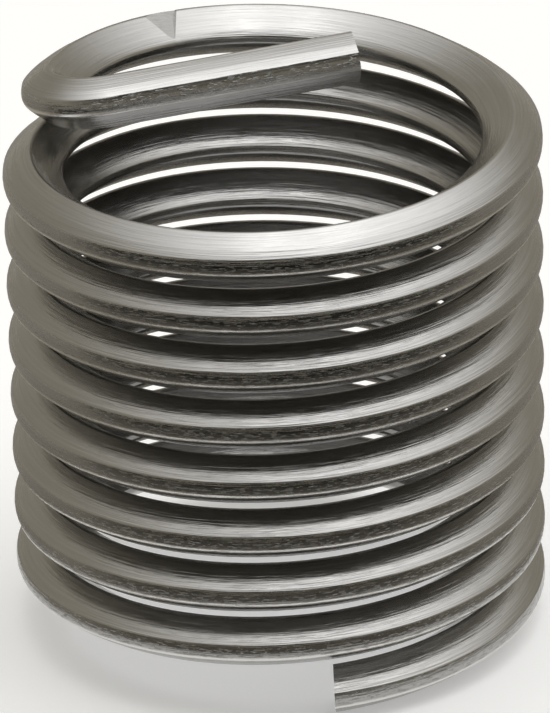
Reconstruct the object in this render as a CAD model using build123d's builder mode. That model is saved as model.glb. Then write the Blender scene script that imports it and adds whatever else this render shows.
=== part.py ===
"""Tanged helical thread insert for an M12 x 1.75 screw, 1.5 diameters (18 mm) long.

One length of diamond-section stainless wire, as it is before it is fitted: a free
coil with a plain sheared end below, and above it a last turn that is drawn in,
bent sharply inwards and carried across the bore as the driving tang.
Origin on the coil axis, Z up, the lowest point of the wire at Z = 0, in mm.
"""

import os
from math import pi, radians, tan

from build123d import *
from build123d.topology import SkipClean

# Coil
pitch = 1.70                # spacing of the free coils
ridge_radius = 6.84         # coil axis to the widest line of the wire
turns = 8                   # regular turns
start_angle = -80.0         # where the wire starts, seen from above, before it is sheared
steps = 6                   # lengths of wire that make one turn

# Plain end
shear_sweep = 2.0           # from the start to where the shear crosses the ridges
shear_skew = 12.0           # how far the shear is off square to the wire

# Wire section: a rhomb with its two radial points cut off as crests
half_width = 0.755          # half of its width along the coil axis
flank_angle = 33.5          # slope of each flank from the level
outer_depth = 0.80          # ridge to outer crest, the half that fills the tapped hole
inner_depth = 0.93          # ridge to inner crest, the half that holds the screw

# End turn
end_pitch = 1.86            # the last half turn opens a little
end_sweep = 182.0
drawn_radius = 6.35         # then the wire is drawn in towards the bend
drawn_sweep = 63.0

# Bend and tang
bend_radius = 1.57
bend_sweep = 115.7
bend_lean = 10.2            # lean of the bend's axis from the coil's
bend_lean_side = 141.6      # the side it leans to, seen from above
tang_length = 7.0

# Break-off notch: a ramp that deepens along the ridge to a steep wall
notch_wall = 12.7           # degrees of the drawn-in arc before the wall
notch_skew = 4.3            # how much further on the wall meets the inner crest
notch_ramp = 8.6            # degrees of arc from the wall to the ramp's far end
notch_depth = 0.16          # depth at the wall, on the ridge

# Worked out from the above
outer_radius = ridge_radius + outer_depth
inner_radius = ridge_radius - inner_depth
point_reach = half_width / tan(radians(flank_angle))    # ridge to each uncut point
inner_half_crest = half_width - inner_depth * tan(radians(flank_angle))
step_angle = 360 / steps
start_height = half_width - pitch * shear_sweep / 360
up = Vector(0, 0, 1)


def turned(angle):
    """Level direction at an angle about the coil axis."""
    return Vector(1, 0, 0).rotate(Axis.Z, angle)


def arc_path(centre, axis, spoke, radius, rise, sweep):
    """Screw-shaped path that starts on the spoke and climbs by rise in each turn."""
    seat = Plane(origin=centre, x_dir=spoke, z_dir=axis)
    return Helix(pitch=rise, height=rise * sweep / 360, radius=radius).moved(seat.location)


def spoke_at(path, axis):
    """Direction from the axis of a bend to the wire, where the wire enters it."""
    along = path % 1
    return (along - axis * along.dot(axis)).cross(axis).normalized()


def cut_end(solid, path):
    """Square end of the wire where a path stops."""
    return solid.faces().filter_by(GeomType.PLANE).sort_by_distance(path @ 1)[0]


# Paths of the wire's centre line, each taking over where the one before stops
coil_foot = Vector(0, 0, start_height)
step_path = arc_path(coil_foot, up, turned(start_angle), ridge_radius, pitch, step_angle)
coil_top = coil_foot + up * turns * pitch
end_path = arc_path(coil_top, up, turned(start_angle), ridge_radius, end_pitch, end_sweep)
drawn_spoke = spoke_at(end_path, up)
drawn_centre = end_path @ 1 - drawn_spoke * drawn_radius
drawn_rise = end_pitch * drawn_radius / ridge_radius
drawn_path = arc_path(drawn_centre, up, drawn_spoke, drawn_radius, drawn_rise, drawn_sweep)
bend_axis = up.rotate(Axis((0, 0, 0), turned(bend_lean_side + 90)), bend_lean)
bend_spoke = spoke_at(drawn_path, bend_axis)
bend_centre = drawn_path @ 1 - bend_spoke * bend_radius
climb = (drawn_path % 1).dot(bend_axis)
bend_rise = 2 * pi * bend_radius * climb / (1 - climb**2) ** 0.5
bend_path = arc_path(bend_centre, bend_axis, bend_spoke, bend_radius, bend_rise, bend_sweep)


def on_drawn_wire(angle, outward, upward):
    """Point of the wire's section, angle degrees along the drawn-in arc."""
    middle = drawn_path @ (angle / drawn_sweep)
    spoke = drawn_spoke.rotate(Axis.Z, angle)
    return middle + spoke * outward + up * upward


# One step of the regular coil, swept as the whole rhomb and turned to both crests
with BuildPart() as coil_step:
    with BuildSketch(Plane(origin=step_path @ 0, x_dir=turned(start_angle), z_dir=step_path % 0)):
        with BuildLine():
            Polyline((point_reach, 0), (0, half_width), (-point_reach, 0), (0, -half_width), close=True)
        make_face()
    sweep(path=step_path, is_frenet=True, clean=False)
    with BuildSketch(Plane.XY.offset(-pitch)):
        Circle(outer_radius + pitch)
        Circle(outer_radius, mode=Mode.SUBTRACT)
        Circle(inner_radius)
    extrude(amount=4 * pitch, mode=Mode.SUBTRACT)

# What the shear takes off below the first turn: the outer crest is left the longest
sheared = shear_sweep / step_angle
square_plane = Plane(
    origin=step_path @ sheared, x_dir=turned(start_angle + shear_sweep), z_dir=-(step_path % sheared)
)
with BuildPart(square_plane.rotated((0, 0, -shear_skew))) as shear_cutter:
    Box(2 * pitch, pitch, half_width, align=(Align.CENTER, Align.CENTER, Align.MIN))

# The break-off notch's cutter, seated on the plane of its ramp
wall_ridge = on_drawn_wire(notch_wall, 0, half_width - notch_depth)
wall_crest = on_drawn_wire(notch_wall + notch_skew, -inner_depth, inner_half_crest)
ramp_ridge = on_drawn_wire(notch_wall + notch_ramp, 0, half_width)
wall_line = wall_crest - wall_ridge
ramp_plane = Plane(origin=wall_ridge, x_dir=wall_line, z_dir=(ramp_ridge - wall_ridge).cross(wall_line))
with BuildPart(ramp_plane) as notch_cutter:
    Box(4 * half_width, 2 * half_width, half_width, align=(Align.CENTER, Align.MAX, Align.MIN))

with SkipClean(), BuildPart() as wire_coil:
    # Regular coil, with each crest kept as short lengths of one true cylinder
    with Locations(
        *[Location((0, 0, n * pitch / steps), (0, 0, n * step_angle)) for n in range(steps * turns)]
    ):
        add(coil_step.part)

    # End turn, drawn-in arc and bend, each carrying on the end of the wire so far
    coil_end = wire_coil.faces().filter_by(GeomType.PLANE).sort_by(Axis.Z)[-1]
    sweep(sections=coil_end, path=end_path, is_frenet=True)
    sweep(sections=cut_end(wire_coil, end_path), path=drawn_path, is_frenet=True)
    sweep(sections=cut_end(wire_coil, drawn_path), path=bend_path, is_frenet=True)
    extrude(to_extrude=cut_end(wire_coil, bend_path), amount=tang_length)

    add([shear_cutter.part, notch_cutter.part], mode=Mode.SUBTRACT)

wire_coil.part.label = "wire_coil"

os.makedirs("parts", exist_ok=True)
export_step(wire_coil.part, "parts/wire_coil.step")
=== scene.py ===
from math import cos, hypot, pi, radians, sin, tan

import bmesh
import bpy
from mathutils import Matrix, Vector


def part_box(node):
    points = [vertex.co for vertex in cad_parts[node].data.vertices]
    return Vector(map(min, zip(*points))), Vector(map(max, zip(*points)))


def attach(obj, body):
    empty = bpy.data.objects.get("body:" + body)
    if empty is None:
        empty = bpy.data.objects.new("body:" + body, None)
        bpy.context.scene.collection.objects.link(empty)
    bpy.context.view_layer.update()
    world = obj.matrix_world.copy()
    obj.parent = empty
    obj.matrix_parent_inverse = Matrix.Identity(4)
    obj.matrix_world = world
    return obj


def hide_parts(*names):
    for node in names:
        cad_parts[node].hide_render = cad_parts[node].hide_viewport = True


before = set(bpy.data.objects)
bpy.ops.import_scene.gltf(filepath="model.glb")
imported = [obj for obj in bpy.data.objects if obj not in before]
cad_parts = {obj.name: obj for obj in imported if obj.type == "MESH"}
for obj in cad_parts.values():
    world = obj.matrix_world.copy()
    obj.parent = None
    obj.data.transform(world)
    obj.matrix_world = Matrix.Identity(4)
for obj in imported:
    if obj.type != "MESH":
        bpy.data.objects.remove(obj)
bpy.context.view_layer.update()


# ---------------------------------------------------------------- the wire
# One length of stainless wire, cold-drawn through a die to a diamond section whose two
# points are flat crests, then wound on an arbor as an open coil. Its plain end is sheared
# off and its last turn is drawn in, nicked and bent across the bore as the driving tang.

mm = 0.001
wire_low, wire_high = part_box("wire_coil")
outer_radius = min(wire_high.x, wire_high.y, -wire_low.x, -wire_low.y)
outer_depth, inner_depth = 0.80 * mm, 0.93 * mm     # ridge to each crest
half_width = 0.755 * mm                             # half of the section's width
flank_slope = tan(radians(33.5))
ridge_radius = outer_radius - outer_depth
pitch, turns, start_angle = 1.70 * mm, 8, radians(-80)
shear_sweep, shear_skew = radians(2), radians(12)
end_pitch, end_sweep = 1.86 * mm, radians(182)
drawn_radius, drawn_sweep = 6.35 * mm, radians(63)
bend_radius, bend_sweep = 1.57 * mm, radians(115.7)
bend_lean, bend_lean_side = radians(10.2), radians(141.6)
tang_length = 7.0 * mm


def level(angle):
    """Level direction at an angle about the coil's axis."""
    return Vector((cos(angle), sin(angle), 0))


# The drawn section, square to the wire where it starts. The die leaves the outer crest
# faintly domed between two narrow rubbed facets, and rounds the inner crest. A corner is
# its place outward and upward from the middle of the ridges, and how far it is eased.
spoke = level(start_angle)
climb = pitch / (2 * pi * ridge_radius)
along = Vector((-spoke.y, spoke.x, climb)).normalized()
wire_up = spoke.cross(along)
wire_start = spoke * ridge_radius + Vector((0, 0, half_width - pitch * shear_sweep / (2 * pi)))
outer_crest = half_width - outer_depth * flank_slope
inner_crest = half_width - inner_depth * flank_slope
facet_depth, facet_crest = 0.53 * mm, outer_crest - 0.012 * mm
facet_width = facet_crest + (outer_depth - facet_depth) * tan(radians(37.2))
inner_turn = 0.72 * mm                              # where the inner crest starts to round
inner_width = half_width - inner_turn * flank_slope
inner_flat = inner_crest * 0.7
outer_dome, inner_dome = 0.03 * mm, 0.02 * mm
above = [
    (outer_depth - outer_dome, facet_crest, 0.03 * mm),
    (facet_depth, facet_width, 0.04 * mm),
    (0, half_width + 0.01 * mm, 0.09 * mm),
    (-inner_turn, inner_width, 0.07 * mm),
    (inner_dome - inner_depth, inner_flat, 0.06 * mm),
]
# The lower half is a little fuller, with a rounder ridge and a rounder crest corner
below = [
    (inner_dome - inner_depth, -inner_flat, 0.06 * mm),
    (-inner_turn, -inner_width, 0.07 * mm),
    (0, -half_width - 0.045 * mm, 0.16 * mm),
    (facet_depth, -facet_width - 0.02 * mm, 0.04 * mm),
    (outer_depth - outer_dome, -facet_crest - 0.03 * mm, 0.11 * mm),
]
corners = [(outer_depth, 0, 0.06 * mm), *above, *below]
wire = bmesh.new()
drawn = wire.verts.layers.float_vector.new("drawn")
section = [wire.verts.new(wire_start + spoke * out + wire_up * up) for out, up, ease in corners]
wire.faces.new(section)
for corner, (out, up, ease) in zip(section, corners):
    bmesh.ops.bevel(wire, geom=[corner], offset=ease, offset_type="OFFSET", affect="VERTICES",
                    segments=4, profile=0.5, material=-1)
# Each point keeps where it lay in the straight drawn wire: along it, outward and upward
for point in wire.verts:
    point[drawn] = (0, (point.co - wire_start).dot(spoke), (point.co - wire_start).dot(wire_up))
around = len(wire.verts)


def wind(end, centre, axis, rise, sweep, length, steps):
    """Winds the wire on from its end face about an axis or, with no sweep, straight."""
    first = len(wire.verts)
    started = max(point[drawn].x for point in end.verts)
    wound = bmesh.ops.spin(wire, geom=[end, *end.edges, *end.verts], cent=centre, axis=axis,
                           dvec=axis * (rise / steps), angle=sweep,
                           steps=steps, use_merge=False, use_duplicate=False)
    wire.verts.ensure_lookup_table()
    for n in range(first, len(wire.verts)):
        place = wire.verts[n][drawn]
        place.x = started + length * ((n - first) // around + 1) / steps
        wire.verts[n][drawn] = place
    return [item for item in wound["geom_last"] if isinstance(item, bmesh.types.BMFace)][0]


def centre_line(point, direction, centre, axis, radius, sweep):
    """Where the wire's centre line and its direction are after a winding, and its length."""
    turn = Matrix.Rotation(sweep, 3, axis)
    rise = direction.dot(axis)
    length = radius * sweep / (1 - rise ** 2) ** 0.5
    return centre + turn @ (point - centre) + axis * (rise * length), turn @ direction, length


# The regular turns
upright = Vector((0, 0, 1))
axis_foot = Vector((0, 0, 0))
coil_length = turns * hypot(2 * pi * ridge_radius, pitch)
wire.faces.ensure_lookup_table()
end = wind(wire.faces[-1], axis_foot, upright, pitch * turns, turns * 2 * pi, coil_length,
           steps=turns * 96)
at = wire_start + upright * turns * pitch

# The opened end turn, and the arc that draws it in
climb = end_pitch / (2 * pi * ridge_radius)
heading = Vector((-spoke.y, spoke.x, climb)).normalized()
at, heading, length = centre_line(at, heading, axis_foot, upright, ridge_radius, end_sweep)
end = wind(end, axis_foot, upright, end_pitch * end_sweep / (2 * pi), end_sweep, length, steps=60)
inward = upright.cross(heading).normalized()
drawn_centre = at + inward * drawn_radius
drawn_start, drawn_heading = at.copy(), heading.copy()
drawn_from = coil_length + length
drawn_rise = end_pitch * drawn_radius / ridge_radius * drawn_sweep / (2 * pi)
at, heading, length = centre_line(at, heading, drawn_centre, upright, drawn_radius, drawn_sweep)
end = wind(end, drawn_centre, upright, drawn_rise, drawn_sweep, length, steps=30)

# The bend, about an axis that leans, and the straight tang
bend_axis = (level(bend_lean_side) * sin(bend_lean) + upright * cos(bend_lean)).normalized()
inward = bend_axis.cross(heading).normalized()
bend_centre = at + inward * bend_radius
climb = heading.dot(bend_axis)
bend_rise = bend_radius * bend_sweep * climb / (1 - climb ** 2) ** 0.5
at, heading, length = centre_line(at, heading, bend_centre, bend_axis, bend_radius, bend_sweep)
end = wind(end, bend_centre, bend_axis, bend_rise, bend_sweep, length, steps=48)
end.normal_update()
tang_heading = end.normal.copy()
tang_heading *= 1 if tang_heading.dot(heading) > 0 else -1
end = wind(end, at, tang_heading, tang_length, 0.0, tang_length, steps=24)
bmesh.ops.recalc_face_normals(wire, faces=wire.faces)


def cut_wire(stretch, point, normal, waste):
    """Cuts the skin of a stretch of the wire at a plane, and may clear what lies past it."""
    near = [vert for vert in wire.verts if stretch[0] <= vert[drawn].x <= stretch[1]]
    faces = {face for vert in near for face in vert.link_faces}
    edges = {edge for face in faces for edge in face.edges}
    verts = {vert for face in faces for vert in face.verts}
    cut = bmesh.ops.bisect_plane(wire, geom=[*faces, *edges, *verts], dist=1e-8, plane_co=point,
                                 plane_no=normal, clear_outer=waste, clear_inner=False)
    return [item for item in cut["geom_cut"] if isinstance(item, bmesh.types.BMEdge)]


# The shear takes the start of the wire off askew, and leaves its outer crest the longest
sheared = Matrix.Rotation(shear_sweep, 3, upright)
shear_point = sheared @ wire_start + upright * (pitch * shear_sweep / (2 * pi))
shear_normal = Matrix.Rotation(-shear_skew, 3, upright) @ sheared @ -along
shear_reach = 1.0 * mm
rim = cut_wire((-shear_reach, shear_reach), shear_point, shear_normal, True)
bmesh.ops.contextual_create(wire, geom=rim)
sharp_edges = [*rim, *end.edges]

# The nick: a steep wall across the drawn-in arc's upper ridge and a short ramp back up.
# Its angles are in degrees round the arc: where it starts, how far its wall runs askew,
# and where its ramp ends.
nick_turn, nick_skew, nick_width = 12.7, 4.3, 8.6
nick_depth, nick_reach = 0.16 * mm, 2 * mm


def on_drawn_wire(turned, out, high):
    """Point of the section, a little way round the drawn-in arc, in degrees."""
    swung = Matrix.Rotation(radians(turned), 3, upright)
    run = drawn_rise * radians(turned) / drawn_sweep
    outward = swung @ (drawn_start - drawn_centre).normalized()
    ahead = swung @ drawn_heading
    centre = drawn_centre + swung @ (drawn_start - drawn_centre) + upright * run
    return centre + outward * out + outward.cross(ahead) * high


wall_ridge = on_drawn_wire(nick_turn, 0, half_width - nick_depth)
wall_crest = on_drawn_wire(nick_turn + nick_skew, -inner_depth, inner_crest)
ramp_ridge = on_drawn_wire(nick_turn + nick_width, 0, half_width)
wall_line = (wall_crest - wall_ridge).normalized()
ramp_normal = (ramp_ridge - wall_ridge).cross(wall_line).normalized()
ramp_normal *= 1 if ramp_normal.z > 0 else -1
wall_normal = ramp_normal.cross(wall_line)
wall_normal *= 1 if wall_normal.dot(ramp_ridge - wall_ridge) > 0 else -1


def on_plane(vert, normal):
    """Whether a point of the nick's rim lies in the plane of its wall or its ramp."""
    return abs((vert.co - wall_ridge).dot(normal)) < 1e-7


nick_start = drawn_from + drawn_radius * radians(nick_turn)
nicked = (nick_start - nick_reach / 2, nick_start + nick_reach * 2)
cut_wire(nicked, wall_ridge, wall_normal, False)
cut_wire(nicked, wall_ridge, ramp_normal, False)
chip = []
for face in wire.faces:
    middle = face.calc_center_median() - wall_ridge
    if middle.length < nick_reach and middle.dot(wall_normal) > 0 and middle.dot(ramp_normal) > 0:
        chip.append(face)
bmesh.ops.delete(wire, geom=chip, context="FACES")
rim = [edge for edge in wire.edges if len(edge.link_faces) == 1]
foot = [vert for vert in {vert for edge in rim for vert in edge.verts}
        if on_plane(vert, wall_normal) and on_plane(vert, ramp_normal)]
valley = bmesh.ops.contextual_create(wire, geom=foot)["edges"]
for normal in (wall_normal, ramp_normal):
    side = [edge for edge in rim if all(on_plane(vert, normal) for vert in edge.verts)]
    bmesh.ops.contextual_create(wire, geom=side + valley)
for edge in sharp_edges + rim + valley:
    edge.smooth = False
bmesh.ops.recalc_face_normals(wire, faces=wire.faces)

wire_mesh = bpy.data.meshes.new("drawn_wire")
wire.to_mesh(wire_mesh)
wire.free()
for face in wire_mesh.polygons:
    face.use_smooth = True
drawn_wire = bpy.data.objects.new("drawn_wire", wire_mesh)
bpy.context.collection.objects.link(drawn_wire)
flat_flanks = drawn_wire.modifiers.new("flat_flanks", "WEIGHTED_NORMAL")
flat_flanks.weight = 100
flat_flanks.keep_sharp = True

# Bright-drawn stainless: a soft satin with fine die lines along the wire, cloudy patches,
# and scuffed specks where the outer crest has rubbed in the die and in handling. Along
# the crest's lower corner the base colour is lightened as a painted highlight.
steel = bpy.data.materials.new("drawn_stainless")
steel.use_nodes = True
nodes, links = steel.node_tree.nodes, steel.node_tree.links
shade = nodes["Principled BSDF"]
shade.inputs["Metallic"].default_value = 1.0
on_wire = nodes.new("ShaderNodeAttribute")
on_wire.attribute_name = "drawn"
section_place = nodes.new("ShaderNodeSeparateXYZ")
links.new(on_wire.outputs["Vector"], section_place.inputs[0])


def grain(fineness, detail, roughness):
    """Noise that follows the wire, with its fineness along it, outward and upward."""
    laid = nodes.new("ShaderNodeMapping")
    laid.inputs["Scale"].default_value = fineness
    links.new(on_wire.outputs["Vector"], laid.inputs["Vector"])
    noise = nodes.new("ShaderNodeTexNoise")
    noise.inputs["Scale"].default_value = 1.0
    noise.inputs["Detail"].default_value = detail
    noise.inputs["Roughness"].default_value = roughness
    links.new(laid.outputs["Vector"], noise.inputs["Vector"])
    return noise.outputs["Fac"]


def ranged(value, start, stop, low=0.0, high=1.0):
    """Node that turns a value between start and stop into one between low and high."""
    span = nodes.new("ShaderNodeMapRange")
    span.inputs["From Min"].default_value = start
    span.inputs["From Max"].default_value = stop
    span.inputs["To Min"].default_value = low
    span.inputs["To Max"].default_value = high
    links.new(value, span.inputs["Value"])
    return span


def combined(operation, first, second):
    """Two values made one, as their product or the larger of them."""
    both = nodes.new("ShaderNodeMath")
    both.operation = operation
    links.new(first, both.inputs[0])
    links.new(second, both.inputs[1])
    return both.outputs[0]


die_lines = grain((300, 13000, 13000), 3.0, 0.65)
clouds = grain((900, 3200, 3200), 4.0, 0.6)
specks = ranged(grain((4200, 20000, 24000), 2.0, 0.5), 0.55, 0.68)
on_crest = ranged(section_place.outputs["Y"], 0.76 * mm, 0.78 * mm)
lower_crest = ranged(section_place.outputs["Z"], 0.12 * mm, -0.04 * mm, low=0.35)
rubbed = combined("MULTIPLY", on_crest.outputs["Result"], lower_crest.outputs["Result"])
scuffs = combined("MULTIPLY", specks.outputs["Result"], rubbed)

satin = ranged(clouds, 0.3, 0.7, low=0.16, high=0.27)
scuffed = nodes.new("ShaderNodeMix")
scuffed.inputs[3].default_value = 0.5
links.new(scuffs, scuffed.inputs[0])
links.new(satin.outputs["Result"], scuffed.inputs[2])
links.new(scuffed.outputs[0], shade.inputs["Roughness"])

tint = nodes.new("ShaderNodeMix")
tint.data_type = "RGBA"
tint.inputs[6].default_value = (0.35, 0.345, 0.335, 1)
tint.inputs[7].default_value = (0.49, 0.485, 0.474, 1)
links.new(die_lines, tint.inputs[0])
# Painted highlight: the base colour turns near white along the crest's lower corner, under the crest
# and above the facet
below_crest = ranged(section_place.outputs["Z"], -0.14 * mm, -0.22 * mm)
above_facet = ranged(section_place.outputs["Y"], 0.68 * mm, 0.73 * mm)
painted_highlight_band = combined("MULTIPLY", below_crest.outputs["Result"], above_facet.outputs["Result"])
painted_corner_highlight = nodes.new("ShaderNodeMix")
painted_corner_highlight.data_type = "RGBA"
painted_corner_highlight.inputs[7].default_value = (0.90, 0.885, 0.86, 1)
links.new(painted_highlight_band, painted_corner_highlight.inputs[0])
links.new(tint.outputs[2], painted_corner_highlight.inputs[6])
links.new(painted_corner_highlight.outputs[2], shade.inputs["Base Color"])

lines_bump = nodes.new("ShaderNodeBump")
lines_bump.inputs["Strength"].default_value = 1.0
lines_bump.inputs["Distance"].default_value = 0.013 * mm
links.new(die_lines, lines_bump.inputs["Height"])
scuff_bump = nodes.new("ShaderNodeBump")
scuff_bump.inputs["Strength"].default_value = 0.8
scuff_bump.inputs["Distance"].default_value = 0.010 * mm
links.new(scuffs, scuff_bump.inputs["Height"])
links.new(lines_bump.outputs["Normal"], scuff_bump.inputs["Normal"])
links.new(scuff_bump.outputs["Normal"], shade.inputs["Normal"])
wire_mesh.materials.append(steel)

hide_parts("wire_coil")
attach(drawn_wire, "root")


# ---------------------------------------------------------------- the studio
# A plain white floor that stays white to the camera and in the metal, and keeps the
# coil's soft shadow
floor_mesh = bpy.data.meshes.new("floor")
sheet = bmesh.new()
bmesh.ops.create_grid(sheet, x_segments=1, y_segments=1, size=2.0)
sheet.to_mesh(floor_mesh)
sheet.free()
floor = bpy.data.objects.new("floor", floor_mesh)
bpy.context.collection.objects.link(floor)
paper = bpy.data.materials.new("white_paper")
paper.use_nodes = True
nodes, links = paper.node_tree.nodes, paper.node_tree.links
nodes.clear()
matt = nodes.new("ShaderNodeBsdfDiffuse")
matt.inputs["Color"].default_value = (0.80, 0.80, 0.80, 1)
ray = nodes.new("ShaderNodeLightPath")
seen = combined("MAXIMUM", ray.outputs["Is Camera Ray"], ray.outputs["Is Glossy Ray"])
seen = combined("MAXIMUM", seen, ray.outputs["Is Transmission Ray"])
lift = ranged(seen, 0.0, 1.0, high=0.31)
glow = nodes.new("ShaderNodeEmission")
links.new(lift.outputs["Result"], glow.inputs["Strength"])
lit_paper = nodes.new("ShaderNodeAddShader")
links.new(matt.outputs[0], lit_paper.inputs[0])
links.new(glow.outputs[0], lit_paper.inputs[1])
skin = nodes.new("ShaderNodeOutputMaterial")
links.new(lit_paper.outputs[0], skin.inputs["Surface"])
floor_mesh.materials.append(paper)


def stop_at(ramp, place):
    """The stop at a place on a colour ramp, laid in order: its two ends are there already."""
    if place == 0.0:
        return ramp.elements[0]
    if place == 1.0:
        return ramp.elements[-1]
    return ramp.elements.new(place)


# The room is a soft dome, brightest overhead and a little to the right. On the camera's
# side it is dark, except for a pale skirting low down.
room = bpy.data.worlds.new("room")
bpy.context.scene.world = room
room.use_nodes = True
nodes, links = room.node_tree.nodes, room.node_tree.links
dome = nodes["Background"]
direction = nodes.new("ShaderNodeTexCoord")
overhead = nodes.new("ShaderNodeVectorMath")
overhead.operation = "DOT_PRODUCT"
overhead.inputs[1].default_value = (0.15, 0.05, 0.987)
links.new(direction.outputs["Generated"], overhead.inputs[0])
tones = nodes.new("ShaderNodeValToRGB")
links.new(overhead.outputs["Value"], tones.inputs["Fac"])
brightest = 2.0
for place, tone, warmth in (
    (0.0, 0.38, 0.26),
    (0.50, 0.40, 0.22),
    (0.60, 0.47, 0.16),
    (0.68, 0.66, 0.10),
    (0.76, 0.92, 0.06),
    (0.84, 1.20, 0.03),
    (0.90, 1.56, 0.01),
    (0.95, 1.88, 0.0),
    (1.0, brightest, 0.0),
):
    grey = tone / brightest
    stop_at(tones.color_ramp, place).color = (grey, grey * (1 - warmth * 0.3), grey * (1 - warmth), 1)
links.new(tones.outputs["Color"], dome.inputs["Color"])
compass = nodes.new("ShaderNodeSeparateXYZ")
links.new(direction.outputs["Generated"], compass.inputs[0])
skirting = ranged(compass.outputs["Z"], 0.36, 0.58, low=1.6, high=0.04)
skirting.interpolation_type = "SMOOTHSTEP"
camera_side = ranged(compass.outputs["Y"], -0.60, -0.42, high=brightest)
camera_side.interpolation_type = "SMOOTHSTEP"
links.new(skirting.outputs["Result"], camera_side.inputs["To Min"])
links.new(camera_side.outputs["Result"], dome.inputs["Strength"])

# Two soft lamps hang side by side overhead
for across in (-0.026, 0.066):
    lamp = bpy.data.lights.new("softbox", "AREA")
    lamp.shape = "RECTANGLE"
    lamp.size, lamp.size_y = 0.05, 0.24
    lamp.energy = 0.8 * pi * lamp.size * lamp.size_y
    lamp_hung = bpy.data.objects.new("softbox", lamp)
    lamp_hung.location = (across, 0.0, 0.40)
    bpy.context.collection.objects.link(lamp_hung)

# A wide ring of matt card lies round the coil's foot, black towards the front and grey
# behind. Only the metal sees it, and it gives the crests their dark.
hole_radius, brim_times_wider = 10.2 * mm, 60
card_mesh = bpy.data.meshes.new("card")
sheet = bmesh.new()
bmesh.ops.create_circle(sheet, cap_ends=False, segments=64, radius=hole_radius)
widened = bmesh.ops.extrude_edge_only(sheet, edges=sheet.edges[:])["geom"]
brim = [item for item in widened if isinstance(item, bmesh.types.BMVert)]
bmesh.ops.scale(sheet, vec=(brim_times_wider, brim_times_wider, 1), verts=brim)
bmesh.ops.translate(sheet, vec=(0, 0, 0.2 * mm), verts=sheet.verts)
sheet.to_mesh(card_mesh)
sheet.free()
card = bpy.data.objects.new("card", card_mesh)
bpy.context.collection.objects.link(card)
black = bpy.data.materials.new("black_card")
black.use_nodes = True
nodes, links = black.node_tree.nodes, black.node_tree.links
nodes.clear()
where = nodes.new("ShaderNodeTexCoord")
towards = nodes.new("ShaderNodeSeparateXYZ")
links.new(where.outputs["Object"], towards.inputs[0])
depth = ranged(towards.outputs["Y"], -45 * mm, 15 * mm)
fade = nodes.new("ShaderNodeValToRGB")
links.new(depth.outputs["Result"], fade.inputs["Fac"])
for place, tone in (
    (0.0, 0.01),
    (0.24, 0.025),
    (0.36, 0.10),
    (0.56, 0.16),
    (0.68, 0.34),
    (1.0, 0.40),
):
    stop_at(fade.color_ramp, place).color = (tone, tone * 0.94, tone * 0.83, 1)
matt = nodes.new("ShaderNodeBsdfDiffuse")
links.new(fade.outputs["Color"], matt.inputs["Color"])
skin = nodes.new("ShaderNodeOutputMaterial")
links.new(matt.outputs[0], skin.inputs["Surface"])
card_mesh.materials.append(black)
card.visible_camera = card.visible_diffuse = card.visible_shadow = False


# ---------------------------------------------------------------- the camera
# Looks down on the coil from the front through a long lens, turned a little on its axis
view_down, roll, distance = radians(25.627), radians(1.2475), 230.554 * mm
aim = Vector((-0.0499, 0, 7.946)) * mm
camera = bpy.data.cameras.new("camera")
camera.sensor_fit = "HORIZONTAL"
camera.sensor_width = 36
camera.lens = 528.2
camera.clip_start, camera.clip_end = 0.01, 10
view = bpy.data.objects.new("camera", camera)
view.location = aim + Vector((0, -cos(view_down), sin(view_down))) * distance
tipped = Matrix.Rotation(pi / 2 - view_down, 3, "X")
rolled = Matrix.Rotation(-roll, 3, "Z")
view.rotation_euler = (tipped @ rolled).to_euler()
bpy.context.collection.objects.link(view)
bpy.context.scene.camera = view
bpy.context.scene.view_settings.view_transform = "Standard"
